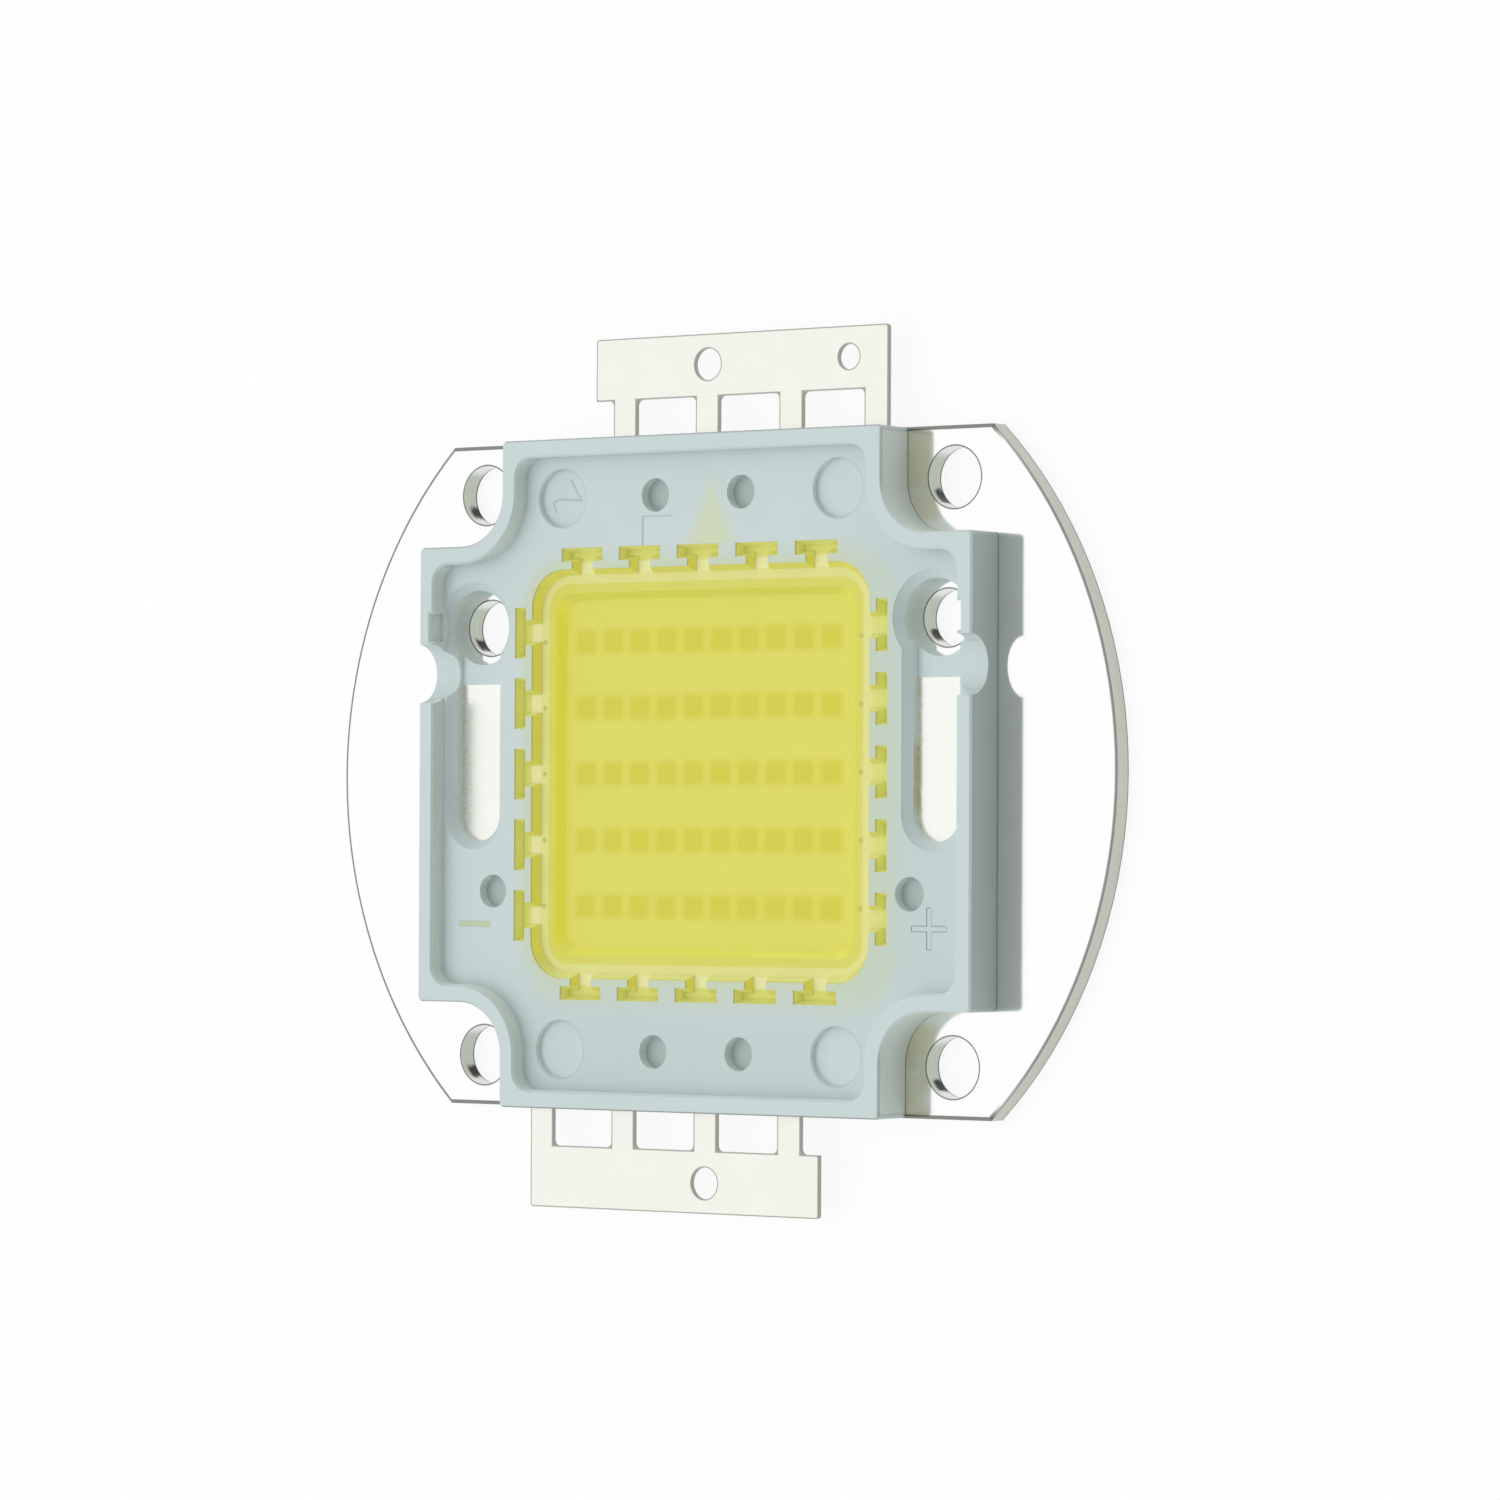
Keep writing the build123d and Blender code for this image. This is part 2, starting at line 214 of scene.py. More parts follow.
class Shader:
    """A node tree and the few ways in which this script adds to it."""

    def __init__(self, tree):
        self.tree = tree
        self.tree.nodes.clear()

    def node(self, kind, settings=None, links=None, output=0):
        """Adds a node with its settings, then the values or links of its sockets. Gives one output."""
        made = self.tree.nodes.new("ShaderNode" + kind)
        for name, value in (settings or {}).items():
            setattr(made, name, value)
        for name, value in (links or {}).items():
            socket = made.inputs[name]
            if isinstance(value, Value):
                self.tree.links.new(value.socket, socket)
            else:
                socket.default_value = value
        return Value(self, made.outputs[output]) if len(made.outputs) else None

    def maths(self, operation, *values):
        """One Math node."""
        return self.node("Math", {"operation": operation}, dict(enumerate(values)))

    def largest(self, a, b):
        return self.maths("MAXIMUM", a, b)

    def smallest(self, a, b):
        return self.maths("MINIMUM", a, b)

    def size_of(self, a):
        return self.maths("ABSOLUTE", a)

    def length(self, x, y):
        return self.maths("SQRT", x * x + y * y)

    def part(self, vector, axis):
        """One part of a vector: its X, Y or Z."""
        return self.node("SeparateXYZ", None, {"Vector": vector}, output=axis)

    def step(self, value, start, end):
        """A smooth step, 0 before start and 1 past end. It runs the other way where end is the lower."""
        ends = {"Value": value, "From Min": start, "From Max": end}
        if end < start:
            ends = {"Value": value, "From Min": end, "From Max": start, "To Min": 1.0, "To Max": 0.0}
        return self.node("MapRange", {"interpolation_type": "SMOOTHSTEP"}, ends)

    def between(self, value, low, high, soft):
        """1 between low and high, with soft sides."""
        half = soft / 2
        return self.step(value, low - half, low + half) * self.step(value, high + half, high - half)

    def inside(self, distance, soft):
        """1 where a distance is negative, 0 outside, with a soft edge."""
        return self.step(distance, soft / 2, -soft / 2)

    def line(self, distance, full, faded):
        """1 up to full on both sides of where a distance is zero, and 0 from faded on."""
        return self.step(self.size_of(distance), faded, full)

    def blend(self, factor, first, second):
        """A blend of two numbers."""
        return first + (second - first) * factor

    def colour(self, value):
        """A colour as a socket takes it."""
        return value if isinstance(value, Value) else (*value, 1.0)

    def colour_mix(self, factor, first, second):
        """A blend of two colours."""
        sockets = {"Factor": factor, mix_first: self.colour(first), mix_second: self.colour(second)}
        return self.node("Mix", {"data_type": "RGBA"}, sockets, output=mix_result)

    def noise(self, vector, per_mm, detail=3.0):
        """Noise from 0 to 1 with per_mm swells in each millimetre."""
        links = {"Vector": vector, "Scale": per_mm, "Detail": detail, "Roughness": noise_roughness}
        return self.node("TexNoise", None, links)

    def stretched(self, vector, x, y, z):
        """The vector with each part scaled, for streaks along one way."""
        return self.node("VectorMath", {"operation": "MULTIPLY"}, {0: vector, 1: (x, y, z)})

    def off_nearest(self, value, middle, pitch):
        """How far a value is off the nearest of the places that repeat by pitch from a middle one."""
        turns = (value - middle) / pitch + 0.5
        return (self.maths("FRACT", turns) - 0.5) * pitch

    def rounded_box(self, x, y, half_x, half_y, corner):
        """Distance from the outline of a rounded rectangle, negative inside."""
        qx = self.size_of(x) - (half_x - corner)
        qy = self.size_of(y) - (half_y - corner)
        outside = self.length(self.largest(qx, 0.0), self.largest(qy, 0.0))
        return outside + self.smallest(self.largest(qx, qy), 0.0) - corner

    def from_round(self, x, y, hole):
        """Distance from the wall of a round hole, negative inside."""
        return self.length(x - hole[0], y - hole[1]) - hole[2]

    def from_stroke(self, x, y, start, end):
        """Distance from a straight stroke between two places."""
        run_x = end[0] - start[0]
        run_y = end[1] - start[1]
        off_x = x - start[0]
        off_y = y - start[1]
        share = (off_x * run_x + off_y * run_y) / (run_x ** 2 + run_y ** 2)
        share = self.smallest(self.largest(share, 0.0), 1.0)
        return self.length(off_x - share * run_x, off_y - share * run_y)

    def bump(self, height, strength, distance_mm, under=None):
        """A Bump node, over another where one is given. A height of 1 is distance_mm high."""
        links = {"Height": height, "Strength": strength, "Distance": distance_mm * MM}
        if under is not None:
            links["Normal"] = under
        return self.node("Bump", None, links, output="Normal")

    def facing(self, axis):
        """The part of the face's normal along an axis."""
        return self.part(self.node("NewGeometry", output="Normal"), axis)

    def facing_up(self):
        """How far the face turns up or down: 1 level, 0 upright."""
        return self.size_of(self.facing("Z"))

    def any_ray(self, *kinds):
        """1 for the rays of some kinds, named as the outputs of Light Path."""
        rays = [self.node("LightPath", output=kind) for kind in kinds]
        return functools.reduce(self.largest, rays)


class Finish(Shader):
    """A material with a Principled shader, which knows its place on the part in millimetres."""

    def __init__(self, name):
        self.material = bpy.data.materials.new(name)
        self.material.use_nodes = True
        super().__init__(self.material.node_tree)
        metres = self.node("TexCoord", output="Object")
        self.place = self.node("VectorMath", {"operation": "SCALE"}, {0: metres, "Scale": 1 / MM})
        self.x = self.part(self.place, "X")
        self.y = self.part(self.place, "Y")
        self.z = self.part(self.place, "Z")

    def inset(self):
        """How far a place lies inside the outline of the moulding, negative outside it."""
        wide = self.size_of(self.x)
        high = self.size_of(self.y)
        straight = self.smallest(moulding_half - wide, moulding_half - high)
        to_notch_x = self.largest(notch_centre - wide, 0.0)
        to_notch_y = self.largest(notch_centre - high, 0.0)
        return self.smallest(straight, self.length(to_notch_x, to_notch_y) - notch_radius)

    def surface(self, **sockets):
        """Ends the material. Socket names are written with underscores for spaces."""
        links = {name.replace("_", " "): value for name, value in sockets.items()}
        shader = self.node("BsdfPrincipled", None, links, output="BSDF")
        self.node("OutputMaterial", None, {"Surface": shader})
        return self.material


# Base plate


def residue_strips(made):
    """Residue at the foot of the moulding's walls towards +X, on the upper face of the plate."""
    off_middle = made.size_of(made.y)
    in_notch = made.between(made.x, *notch_residue_x, 0.6) * made.step(off_middle, *notch_residue_y)
    at_wall = made.step(made.x, moulding_half - 0.2, moulding_half - 0.1)
    at_wall = at_wall * made.step(off_middle, notch_start - 0.05, notch_start - 0.25)
    off_channel = made.size_of(made.y - channel_y)
    at_wall = at_wall * made.step(off_channel, channel_half + 0.1, channel_half + 0.3)
    beside_wall = made.between(-made.inset(), -0.1, strip_width, 0.6)
    patches = made.step(made.noise(made.place, 0.9), 0.15, 0.5)
    on_top = made.step(made.z, plate_top - 0.2, plate_top - 0.1)
    return made.largest(in_notch, at_wall * 0.15) * beside_wall * patches * on_top


def nearest_hole(made):
    """Ways along X and Y from the middle of the nearest hole, and the distance from its wall."""
    corner_x = made.size_of(made.x) - corner_hole[0]
    corner_y = made.size_of(made.y) - corner_hole[1]
    middle_x = made.size_of(made.x) - middle_hole[0]
    middle_y = made.y - middle_hole[1]
    from_corner = made.length(corner_x, corner_y) - corner_hole[2]
    from_middle = made.length(middle_x, middle_y) - middle_hole[2]
    near_corner = made.inside(from_corner - from_middle, 0.2)
    off_x = made.blend(near_corner, middle_x, corner_x) * made.maths("SIGN", made.x)
    off_y = made.blend(near_corner, middle_y, corner_y * made.maths("SIGN", made.y))
    return off_x, off_y, made.smallest(from_corner, from_middle)


def bore_colour(made, off_x, off_y, torn):
    """Walls smeared by the punch, with a painted dark reflection on one side, painted lighter
    reflections at the ends along Y, and a painted shadow along the foot.
    """
    reach = made.largest(made.length(off_x, off_y), 0.1)
    towards_blot = (off_x * dark_reflection_way[0] + off_y * dark_reflection_way[1]) / reach
    # Painted reflections: dark on one side of the wall, lighter where the wall faces along Y
    painted_dark_reflection = made.step(towards_blot + 0.12 * made.noise(made.place, 1.5), 1.0, 1.05)
    painted_dark_reflection = painted_dark_reflection * made.step(made.z, plate_top - 0.2, plate_top - 0.6)
    ends = made.step(made.size_of(off_y) / reach, 0.62, 0.9)
    bore = made.colour_mix(torn, (0.44, 0.49, 0.41), (0.55, 0.60, 0.52))
    bore = made.colour_mix(ends * 0.7, bore, (0.92, 0.94, 0.92))
    bore = made.colour_mix(painted_dark_reflection, bore, (0.03, 0.03, 0.03))
    # Painted shadow along the foot of the wall
    at_foot = made.step(made.z, lower_line, lower_line - 0.07)
    return made.colour_mix(at_foot, bore, (0.08, 0.08, 0.07))


def bright_plate():
    """Bright plating on the base plate. Its cut side and the walls of its holes are duller, partly for a
    rougher cut. Painted dark reflections and painted shadow lines run along its edges and in its holes.
    """
    made = Finish("bright_plate")
    cloud = made.noise(made.place, 0.25, detail=2.0)
    streaks = made.noise(made.stretched(made.place, 0.35, 9.0, 1.0), 1.0, detail=4.0)
    torn = made.noise(made.stretched(made.place, 0.3, 0.3, 6.0), 1.0)
    upright = made.step(made.facing_up(), 0.5, 0.2)
    past_round = made.length(made.x, made.y) - plate_radius
    edge = made.largest(past_round, made.size_of(made.y) - plate_half_width)

    colour = made.colour_mix(cloud, (0.972, 0.982, 0.972), (0.992, 0.996, 0.988))
    colour = made.colour_mix(residue_strips(made) * 0.9, colour, (0.86, 0.80, 0.64))
    # Painted dark reflection along the edge of the top face towards -X, and a fainter painted dark line
    # all round
    roll_streaks_and_painted_reflection = made.step(edge, -dark_reflection_width, 0.06 - dark_reflection_width)
    roll_streaks_and_painted_reflection = roll_streaks_and_painted_reflection * made.step(made.x, dark_reflection_end_x, dark_reflection_end_x - 1.0)
    thin_line = made.step(edge, -thin_line_width, 0.04 - thin_line_width)
    dark_edge = made.largest(roll_streaks_and_painted_reflection, thin_line * 0.45)
    colour = made.colour_mix(dark_edge * 0.9, colour, (0.15, 0.16, 0.14))

    # A thin dark line round the mouth of each hole
    off_x, off_y, from_wall = nearest_hole(made)
    mouth = made.line(from_wall, 0.05, 0.11) * (1.0 - upright)
    colour = made.colour_mix(mouth * 0.85, colour, (0.08, 0.08, 0.07))

    # The cut side, darker partly for its rougher cut and partly as a painted reflection of darker
    # surroundings, with a painted shadow line along its foot
    side = made.colour_mix(torn, (0.51, 0.53, 0.46), (0.61, 0.63, 0.56))
    at_foot = made.step(made.z, lower_line, lower_line - 0.08)
    side = made.colour_mix(at_foot, side, (0.20, 0.21, 0.19))
    cut_side = made.step(edge, -0.04, -0.015) * upright
    colour = made.colour_mix(cut_side, colour, side)

    in_bore = made.step(edge, -0.2, -0.3) * upright * made.step(from_wall, 0.3, 0.2)
    colour = made.colour_mix(in_bore, colour, bore_colour(made, off_x, off_y, torn))
    roughness = 0.05 + 0.05 * cloud + 0.04 * streaks + 0.25 * cut_side + 0.15 * in_bore
    normal = made.bump(streaks * 0.5 + cloud, 0.12, 0.01)
    return made.surface(Base_Color=colour, Metallic=1.0, Roughness=roughness, Normal=normal)


# Moulded housing


def with_silicone(made, body, cloud, on_floor):
    """Silicone has bled over the cavity's edge, more on the +X and -Y sides, and is smeared above it."""
    shifted_x = made.x - bleed_middle[0]
    shifted_y = made.y - bleed_middle[1]
    bleed = made.step(made.rounded_box(shifted_x, shifted_y, *bleed_square), 1.5, 0.0)
    at_rim = made.step(made.rounded_box(made.x, made.y, *rim_square), 1.1, 0.0)
    haze = made.largest(bleed * (0.15 + 0.35 * cloud), at_rim * (0.35 + 0.4 * cloud)) * on_floor
    body = made.colour_mix(haze, body, (0.56, 0.63, 0.34))

    smear_half = (smear_tip_y - made.y) * smear_slant
    uneven = 0.8 * (made.noise(made.place, 1.2) - 0.5)
    smear = made.step(made.size_of(made.x - smear_x) - smear_half + uneven, 0.8, -0.9)
    smear = smear * made.step(made.y, smear_foot_y, smear_foot_y + 0.3)
    return made.colour_mix(smear * on_floor * 0.6, body, (0.64, 0.69, 0.34))


def insert_joint(made):
    """The joint of a mould insert, a fine line that is fainter along X."""
    along_y = made.between(made.x, joint_x - 0.05, joint_x + 0.05, 0.04)
    along_y = along_y * made.between(made.y, joint_foot_y, joint_top_y, 0.1)
    along_x = made.between(made.y, joint_top_y - 0.03, joint_top_y + 0.05, 0.04)
    along_x = along_x * made.between(made.x, joint_x, joint_end_x, 0.1)
    return made.largest(along_y, along_x * 0.7)


def sign_bar(made, middle, half_x, half_y, soft):
    """One bar of a polarity sign."""
    from_bar = made.rounded_box(made.x - middle[0], made.y - middle[1], half_x, half_y, sign_corner)
    return made.inside(from_bar, soft)


def plus_sign(made):
    """Two bars that cross."""
    along = sign_bar(made, plus_middle, sign_half_length, sign_half_stroke, 0.08)
    across = sign_bar(made, plus_middle, sign_half_stroke, sign_half_length, 0.08)
    return made.largest(along, across)


def cavity_number(made):
    """The mould's cavity number, a plain figure two."""
    off_x = made.x - number_middle[0]
    off_y = made.y - number_middle[1]
    ends = zip(number_path, number_path[1:])
    strokes = [made.from_stroke(off_x, off_y, start, end) for start, end in ends]
    return made.inside(functools.reduce(made.smallest, strokes) - number_half_stroke, 0.06)


def with_traces_of_pins(made, body, on_floor):
    """Pin hole floors get painted shade. Ejector marks have a fine ring, and one has a number."""
    level = made.step(made.facing_up(), 0.8, 0.95)
    # Painted shade on the floors of the pin holes
    pin_floor_shade = made.between(made.z, pin_hole_floor - 0.1, pin_hole_floor + 0.12, 0.04) * level
    off_channel = made.size_of(made.y - channel_y)
    pin_floor_shade = pin_floor_shade * made.step(off_channel, channel_half, channel_half + 0.2)
    body = made.colour_mix(pin_floor_shade * 0.6, body, (0.335, 0.39, 0.365))

    from_mark = made.from_round(made.size_of(made.x), made.size_of(made.y), ejector_mark)
    ring = made.line(from_mark, 0.02, 0.09) * on_floor
    body = made.colour_mix(ring * 0.45, body, (0.33, 0.39, 0.38))
    in_mark = made.between(made.z, ejector_floor - 0.15, ejector_floor + 0.1, 0.04) * level
    return made.colour_mix(cavity_number(made) * in_mark * 0.5, body, (0.33, 0.39, 0.38))


def with_walls_and_edges(made, body):
    """Outer walls are a little duller; walls in the notches and inner walls towards +X and +Y get
    painted light. A painted shadow line runs along the foot, and upper edges are darker.
    """
    inset = made.inset()
    upright = made.step(made.facing_up(), 0.6, 0.3)
    off_side_x = made.step(made.size_of(made.x), moulding_half - 0.2, moulding_half - 0.4)
    off_side_y = made.step(made.size_of(made.y), moulding_half - 0.2, moulding_half - 0.4)
    in_notch = off_side_x * off_side_y
    # Walls in the notches get painted light
    wall_colour = made.colour_mix(in_notch, (0.53, 0.61, 0.58), (0.75, 0.85, 0.79))
    outer_wall = made.step(inset, 0.3, 0.15) * upright
    body = made.colour_mix(outer_wall, body, wall_colour)
    # Painted light on inner walls facing +X and +Y
    to_x = made.step(made.facing("X"), 0.2, 0.7)
    to_y = made.step(made.facing("Y"), 0.2, 0.7)
    inner_wall_light = made.step(inset, 0.5, 0.8) * upright * made.largest(to_x, to_y)
    body = made.colour_mix(inner_wall_light, body, (0.78, 0.86, 0.80))

    flux = made.between(made.z, *flux_z, 0.2) * upright
    flux = flux * made.between(made.y, *flux_y, 1.2) * made.between(made.x, *flux_x, 0.2)
    body = made.colour_mix(flux * 0.7, body, (0.62, 0.56, 0.30))

    # A painted shadow line along the foot, and darker upper edges, most along -Y
    foot_shadow = made.step(made.z, plate_top + 0.1, plate_top + 0.02) * made.step(inset, 0.3, 0.1)
    body = made.colour_mix(foot_shadow * 0.8, body, (0.16, 0.18, 0.17))
    dark_upper_edge = made.step(inset, 0.1, 0.04) * made.step(made.z, rim_top - 0.2, rim_top - 0.13)
    dark_upper_edge = dark_upper_edge * made.step(made.x, notch_start + 0.15, notch_start - 0.15)
    to_minus_y = made.step(made.y, 1.0 - moulding_half, 0.2 - moulding_half)
    dark_upper_edge = dark_upper_edge * (0.6 + 0.3 * to_minus_y)
    return made.colour_mix(dark_upper_edge, body, (0.22, 0.24, 0.21))


def white_moulding():
    """Matt pale moulding compound with a fine grain, polarity signs and traces of the mould."""
    made = Finish("white_moulding")
    cloud = made.noise(made.place, 0.12, detail=2.0)
    grain = made.noise(made.place, 9.0)
    on_floor = made.between(made.z, recess_floor - 0.08, recess_floor + 0.08, 0.04)
    body = made.colour_mix(cloud, (0.555, 0.65, 0.648), (0.595, 0.69, 0.69))
    # Painted shade: the face is darker towards +X and -Y, where the light falls off
    falloff_shade = made.largest(made.step(made.x, *falloff_shade_x), made.step(made.y, *falloff_shade_y)) * on_floor
    body = made.colour_mix(falloff_shade * 0.5, body, (0.49, 0.585, 0.585))
    body = with_silicone(made, body, cloud, on_floor)
    joint = insert_joint(made) * on_floor
    body = made.colour_mix(joint * 0.6, body, (0.36, 0.42, 0.41))

    # The groove of the minus is filled with silicone, the plus is empty
    minus = sign_bar(made, minus_middle, sign_half_length, sign_half_stroke, 0.06) * on_floor
    plus = plus_sign(made) * on_floor
    body = made.colour_mix(minus * 0.9, body, (0.50, 0.60, 0.36))

    body = with_traces_of_pins(made, body, on_floor)
    body = with_walls_and_edges(made, body)
    roughness = 0.42 + 0.12 * grain + 0.06 * cloud
    fine = made.bump(grain + cloud * 2.0, 0.18, 0.02)
    normal = made.bump(1.0 - plus - minus * 0.3 - joint * 0.3, 0.9, 0.12, under=fine)
    return made.surface(Base_Color=body, Roughness=roughness, Normal=normal)


# Lead frame


def comb_outline(made):
    """A dark line round the legs, the tab and its holes. One lead is the other turned by half a turn."""
    side = made.maths("SIGN", made.y)
    along = made.x * side
    out = made.size_of(made.y)
    leg_off = made.off_nearest(along, leg_x, leg_pitch)
    from_leg = made.size_of(leg_off) - leg_half + far_off * made.step(out, legs_end, legs_end + 0.1)
    from_tab = made.rounded_box(along - tab_middle[0], out - tab_middle[1], *tab_box)
    outline = made.step(made.smallest(from_leg, from_tab), -0.1, -0.04)

    # The small hole is in the anode's tab alone
    from_hole = made.from_round(along, out, tab_hole)
    from_small = made.from_round(along, out, small_hole) + far_off * made.step(side, 0.5, -0.5)
    mouth = made.line(made.smallest(from_hole, from_small), 0.04, 0.09)
    return made.largest(outline, mouth) * made.step(out, comb_start, comb_start + 0.1)


def browned_by_flux(made):
    """Patches along one edge of each solder pad."""
    at_edges = [made.line(made.x - edge_x, 0.125, 0.375) for edge_x in browned_edges_x]
    on_pad = made.step(made.size_of(made.y), browned_end_y, browned_end_y - 0.2)
    patches = made.step(made.noise(made.place, 2.0), 0.35, 0.6)
    return made.largest(*at_edges) * on_pad * patches


def satin_lead():
    """Satin warm plating on the lead frame, with a dark stamped outline and cut edges, and painted light
    on the pads.
    """
    made = Finish("satin_lead")
    cloud = made.noise(made.place, 0.3)
    speckle = made.noise(made.place, 5.0)
    roll_streaks_and_painted_reflection = made.noise(made.stretched(made.place, 0.4, 7.0, 1.0), 1.0)
    face = made.colour_mix(cloud * 0.75 + speckle * 0.25, (0.865, 0.87, 0.79), (0.935, 0.94, 0.875))
    # Painted light: the lead is lighter inside the moulding, where its pads show in the slots
    on_pad = made.step(made.size_of(made.y), pad_end_y + 1.0, pad_end_y)
    face = made.colour_mix(on_pad * 0.6, face, (0.965, 0.972, 0.94))
    face = made.colour_mix(comb_outline(made) * 0.75, face, (0.22, 0.22, 0.18))
    face = made.colour_mix(browned_by_flux(made) * 0.5, face, (0.76, 0.68, 0.48))

    level = made.step(made.facing_up(), 0.35, 0.75)
    colour = made.colour_mix(level, (0.34, 0.34, 0.30), face)
    roughness = 0.2 + 0.08 * roll_streaks_and_painted_reflection + 0.06 * cloud
    normal = made.bump(roll_streaks_and_painted_reflection + cloud + speckle * 0.2, 0.1, 0.01)
    return made.surface(Base_Color=colour, Metallic=1.0, Roughness=roughness, Normal=normal)


# Phosphor


def with_dies_showing(made, colour, settled, in_field, row_off):
    """The dies show through the gel as soft squares, in deeper bands along their rows."""
    in_array = in_field * made.step(made.size_of(made.x), array_half_x + 0.05, array_half_x - 0.05)
    in_band = made.line(row_off, *band_half) * in_array
    colour = made.colour_mix(in_band * 0.3, colour, (0.70, 0.655, 0.05))
    warm = in_band * made.step(made.noise(made.place, 0.16), 0.4, 0.65)
    colour = made.colour_mix(warm * 0.35, colour, (0.73, 0.64, 0.05))
    column_off = made.off_nearest(made.x, die_x, die_pitch_x)
    over_die = made.step(made.rounded_box(column_off, row_off, *die_glow), 0.36, -0.25) * in_array
    return made.colour_mix(over_die * (0.65 + 0.3 * settled), colour, (0.63, 0.595, 0.03))


def with_ledge_and_slope(made, colour, on_ledge, in_field, to_back):
    """The ledge is paler than the field, and its outer half palest. A slope lies between them, ringed by
    painted shade and carrying painted light.
    """
    colour = made.colour_mix(on_ledge, colour, (0.68, 0.665, 0.115))
    past_ledge = made.rounded_box(made.x, made.y, *ledge_square)
    thin_coat = on_ledge * made.step(past_ledge, -thin_coat_width, 0.17 - thin_coat_width)
    colour = made.colour_mix(thin_coat, colour, (0.74, 0.73, 0.255))

    # Painted shade in a soft deep-yellow ring to both sides of the slope, stronger towards -X
    from_slope = made.size_of(made.rounded_box(made.x, made.y, *field_square))
    ring = made.step(from_slope, 1.0, 0.1) * made.largest(on_ledge, in_field)
    ring = ring * (0.15 + 0.6 * made.step(made.x, *shade_ring_x))
    colour = made.colour_mix(ring, colour, (0.68, 0.645, 0.045))

    # Painted light on the slope itself: lighter where it faces +X and +Y, standing for light that the
    # gel scatters
    slope = made.step(made.facing_up(), 0.97, 0.85) * made.step(from_slope, 0.7, 0.5)
    slope = slope * made.between(made.z, field_level - 0.05, ledge_level + 0.05, 0.05)
    to_x = made.step(made.facing("X"), 0.15, 0.7)
    slope_colour = made.colour_mix(to_x, (0.69, 0.67, 0.08), (0.97, 0.92, 0.07))
    slope_colour = made.colour_mix(to_back, slope_colour, (0.82, 0.80, 0.11))
    return made.colour_mix(slope, colour, slope_colour)


def with_anchors_and_walls(made, colour, on_ledge, to_back):
    """The coat is pale in an anchor's neck and thick in its bar. Walls facing +X and +Y get painted
    light, walls facing -X painted shade.
    """
    reach = made.largest(made.size_of(made.x), made.size_of(made.y))
    in_bar = made.step(reach, bar_start, bar_start + 0.15)
    neck = on_ledge * made.between(reach, neck_start, bar_start, 0.1)
    dull_neck = made.step(made.x, *dull_neck_x)
    neck_colour = made.colour_mix(dull_neck, (0.80, 0.79, 0.37), (0.70, 0.71, 0.22))
    colour = made.colour_mix(neck, colour, neck_colour)
    colour = made.colour_mix(on_ledge * in_bar, colour, (0.695, 0.69, 0.16))

    # Painted light on walls facing +X and +Y, painted shade on walls facing -X
    wall = made.step(made.facing_up(), 0.65, 0.5) * made.step(made.z, ledge_level, ledge_level + 0.06)
    to_x = made.step(made.facing("X"), 0.2, 0.6)
    away = made.step(made.facing("X"), -0.2, -0.6)
    wall_colour = made.colour_mix(to_x, (0.74, 0.72, 0.14), (0.99, 0.95, 0.15))
    wall_colour = made.colour_mix(to_back, wall_colour, (0.85, 0.86, 0.32))
    bar_wall_colour = made.colour_mix(to_x, (0.78, 0.79, 0.26), (1.0, 1.0, 0.31))
    wall_colour = made.colour_mix(in_bar, wall_colour, bar_wall_colour)
    wall_colour = made.colour_mix(away, wall_colour, (0.58, 0.57, 0.11))
    return made.colour_mix(wall, colour, wall_colour)


def wire_ends(made, row_off):
    """Ends of the bond wires, as a dot at each end of each row."""
    from_left = made.length(made.x - dot_left_x, row_off)
    from_right = made.length(made.x - dot_right_x, row_off)
    dot = made.inside(made.smallest(from_left, from_right) - dot_radius, 0.16)
    return dot * made.step(made.size_of(made.y), rows_end_y, rows_end_y - 0.2)


def phosphor_gel():
    """Yellow phosphor in soft silicone, paler where the coat is thin."""
    made = Finish("phosphor_gel")
    settled = made.noise(made.place, 0.5)
    grit = made.noise(made.place, 14.0, detail=2.0)
    in_field = made.step(made.z, field_level + 0.15, field_level + 0.05)
    on_ledge = made.between(made.z, ledge_level - 0.05, ledge_level + 0.08, 0.05)
    row_off = made.off_nearest(made.y, die_y, die_pitch_y)
    to_back = made.step(made.facing("Y"), 0.3, 0.7)

    colour = made.colour_mix(settled, (0.695, 0.675, 0.09), (0.745, 0.715, 0.12))
    colour = with_dies_showing(made, colour, settled, in_field, row_off)
    colour = with_ledge_and_slope(made, colour, on_ledge, in_field, to_back)
    colour = with_anchors_and_walls(made, colour, on_ledge, to_back)
    colour = made.colour_mix(wire_ends(made, row_off) * on_ledge * 0.7, colour, (0.50, 0.44, 0.09))
    roughness = 0.3 + 0.08 * settled
    normal = made.bump(settled * 2.0 + grit * 0.15, 0.2, 0.05)
    return made.surface(Base_Color=colour, Roughness=roughness, Normal=normal)


# Dies and bond wires, inside the gel


def die_face():
    """Blue-grey gallium nitride with a fine finger pattern of contacts."""
    made = Finish("die_face")
    fingers_per_mm = 3.0
    fingers = made.between(made.maths("FRACT", made.x * fingers_per_mm), 0.1, 0.2, 0.05)
    cloud = made.noise(made.place, 2.0)
    body = made.colour_mix(cloud, (0.10, 0.14, 0.22), (0.14, 0.19, 0.28))
    colour = made.colour_mix(fingers, body, (0.75, 0.66, 0.36))
    normal = made.bump(fingers, 0.2, 0.005)
    return made.surface(Base_Color=colour, Roughness=0.2 + 0.1 * cloud, Metallic=fingers, Normal=normal)


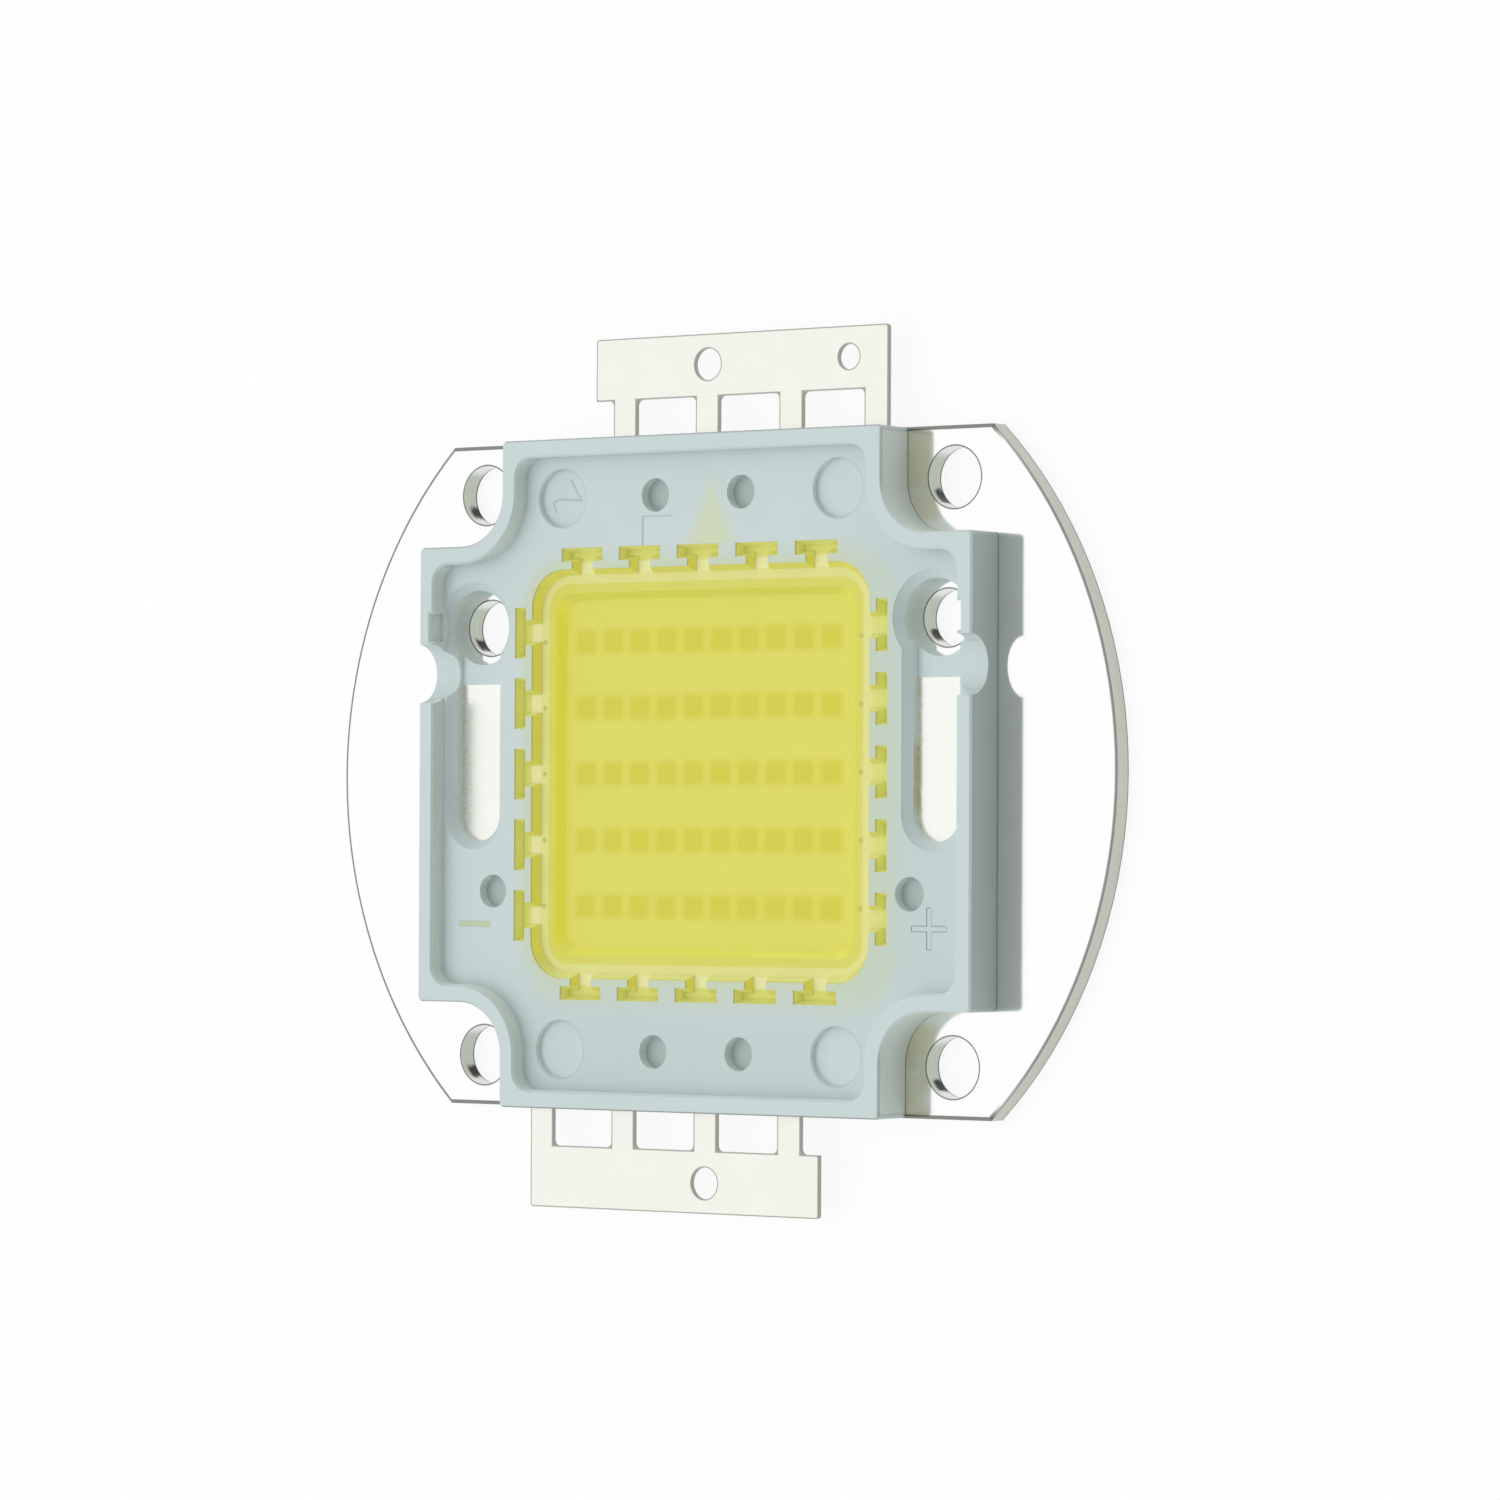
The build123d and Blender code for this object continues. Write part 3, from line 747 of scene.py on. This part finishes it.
def gold_wire():
    """Bright gold bond wire."""
    made = Finish("gold_wire")
    drawn = made.noise(made.stretched(made.place, 1.0, 8.0, 8.0), 2.0)
    colour = made.colour_mix(drawn, (0.83, 0.60, 0.22), (0.93, 0.72, 0.32))
    normal = made.bump(drawn, 0.1, 0.002)
    return made.surface(Base_Color=colour, Metallic=1.0, Roughness=0.15 + 0.1 * drawn, Normal=normal)


def dress(name_start, material):
    """Gives a material to each CAD node whose name starts so."""
    for name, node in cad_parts.items():
        if name.startswith(name_start):
            node.data.materials.clear()
            node.data.materials.append(material)


dress("base_plate", bright_plate())
dress("housing", white_moulding())
lead_finish = satin_lead()
dress("anode_lead", lead_finish)
dress("cathode_lead", lead_finish)
dress("phosphor", phosphor_gel())
dress("led_die", die_face())
dress("bond_wires", gold_wire())


# Floor, light and camera, in metres

white = (1.0, 1.0, 1.0)
floor_half = 1.5
floor_level = -0.00002
floor_kept_shadow = 0.12
camera_side_light = 0.38
camera_side_start = 0.55
key_strength = 0.65
key_spread = math.radians(60)
key_from = Vector((-0.40, -0.10, 0.91))


def make_floor():
    """A plain white floor that keeps a part of the object's shadow."""
    bpy.ops.object.select_all(action="DESELECT")
    bpy.ops.mesh.primitive_plane_add(size=2 * floor_half, location=(0, 0, floor_level))
    floor = bpy.context.object
    floor.name = "floor"
    made = Finish("floor_white")
    shade = made.noise(made.place, 0.02)
    colour = made.colour_mix(shade, (0.97, 0.97, 0.97), (0.99, 0.99, 0.99))
    matt = made.node("BsdfDiffuse", None, {"Color": colour})
    glow = made.node("Emission", None, {"Color": made.colour(white), "Strength": 1.0})
    seen = made.any_ray("Is Camera Ray", "Is Glossy Ray", "Is Transmission Ray")
    mixed = made.node("MixShader", None, {0: seen * (1.0 - floor_kept_shadow), 1: matt, 2: glow})
    made.node("OutputMaterial", None, {"Surface": mixed})
    floor.data.materials.append(made.material)


def make_world():
    """A white room that darkens towards +X, behind the camera, and is plain white where it is seen."""
    world = bpy.data.worlds.new("studio")
    world.use_nodes = True
    bpy.context.scene.world = world
    made = Shader(world.node_tree)
    way_x = made.part(made.node("TexCoord", output="Generated"), "X")
    room = camera_side_light + (1.0 - camera_side_light) * made.step(way_x, camera_side_start, 0.0)
    seen = made.any_ray("Is Camera Ray", "Is Transmission Ray")
    strength = room + (1.0 - room) * seen
    background = made.node("Background", None, {"Color": made.colour(white), "Strength": strength})
    made.node("OutputWorld", None, {"Surface": background})


def make_key():
    """One soft key light from the cathode side. It isn't seen in gloss, where the room stands for it."""
    light = bpy.data.lights.new("key", "SUN")
    light.energy = key_strength
    light.angle = key_spread
    lamp = bpy.data.objects.new("key", light)
    lamp.rotation_euler = key_from.to_track_quat("Z", "Y").to_euler()
    lamp.visible_glossy = False
    bpy.context.scene.collection.objects.link(lamp)


# The photograph's view, found from the outline of the plate and the housing
view_turn_x = math.radians(-1.066)
view_turn_y = math.radians(-35.198)
view_turn_z = math.radians(-0.251)
view_offset = Vector((-1.421, -1.410, -355.88)) * MM
image_size = 1500
focal_pixels = 5996.4
sensor_width = 36.0
nearest_seen = 0.01
farthest_seen = 10.0


def make_camera():
    """A long lens above the anode side, with Y up in the picture."""
    turn = (
        Matrix.Rotation(view_turn_z, 3, "Z")
        @ Matrix.Rotation(view_turn_x, 3, "X")
        @ Matrix.Rotation(view_turn_y, 3, "Y")
    )
    data = bpy.data.cameras.new("camera")
    data.sensor_width = sensor_width
    data.lens = focal_pixels / image_size * sensor_width
    data.clip_start = nearest_seen
    data.clip_end = farthest_seen
    camera = bpy.data.objects.new("camera", data)
    back = turn.transposed()
    camera.matrix_world = Matrix.Translation(-(back @ view_offset)) @ back.to_4x4()
    bpy.context.scene.collection.objects.link(camera)
    bpy.context.scene.camera = camera


make_floor()
make_world()
make_key()
make_camera()
bpy.context.scene.view_settings.view_transform = "Standard"
